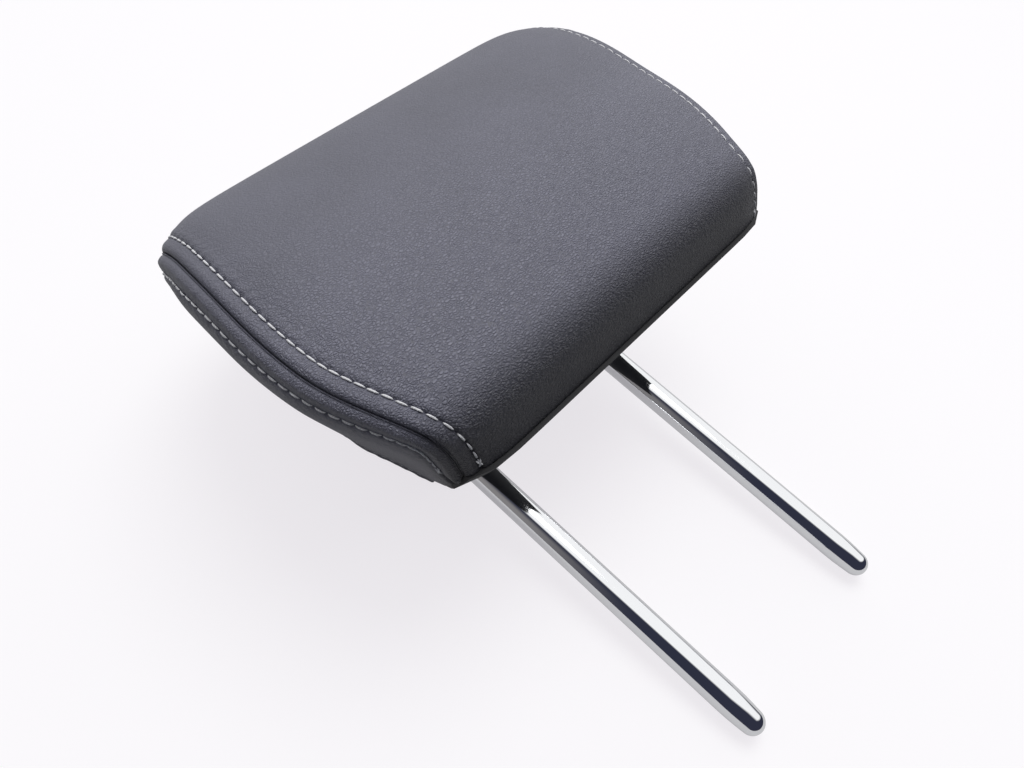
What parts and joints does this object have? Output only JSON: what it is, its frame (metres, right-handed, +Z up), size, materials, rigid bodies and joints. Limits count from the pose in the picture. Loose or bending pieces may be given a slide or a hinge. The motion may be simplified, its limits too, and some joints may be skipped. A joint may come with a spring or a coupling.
{
  "type": "car headrest",
  "caption": "Padded car headrest: leather cover with double stitched side seams over foam and a plastic core, on two chrome posts",
  "frame": {"origin": "midway between the axes of the two posts, level with the lower front edge of the leather", "axes": "+Z up along the posts, -Y the way the padded face looks, +X across the face"},
  "size_m": [0.2628, 0.1573, 0.3519],
  "materials": {
    "posts": "polished chrome plating",
    "core": "plain moulded plastic",
    "screws": "zinc plated steel",
    "foam": "moulded soft foam",
    "leather": "charcoal pebbled leather with pale grey stitching",
    "black_plastic": "fine textured black plastic"
  },
  "bodies": {
    "root": {"post_frame": "posts", "core_front_shell": "core", "core_rear_shell": "core", "core_screw_1": "screws", "core_screw_2": "screws", "core_screw_3": "screws", "core_screw_4": "screws", "foam_bun": "foam", "cover_front_panel": "leather", "cover_rear_panel": "leather", "cover_left_side": "leather", "cover_right_side": "leather", "retainer_strip_front": "black_plastic", "retainer_strip_rear": "black_plastic", "bottom_cover": "black_plastic"}
  },
  "joints": []
}
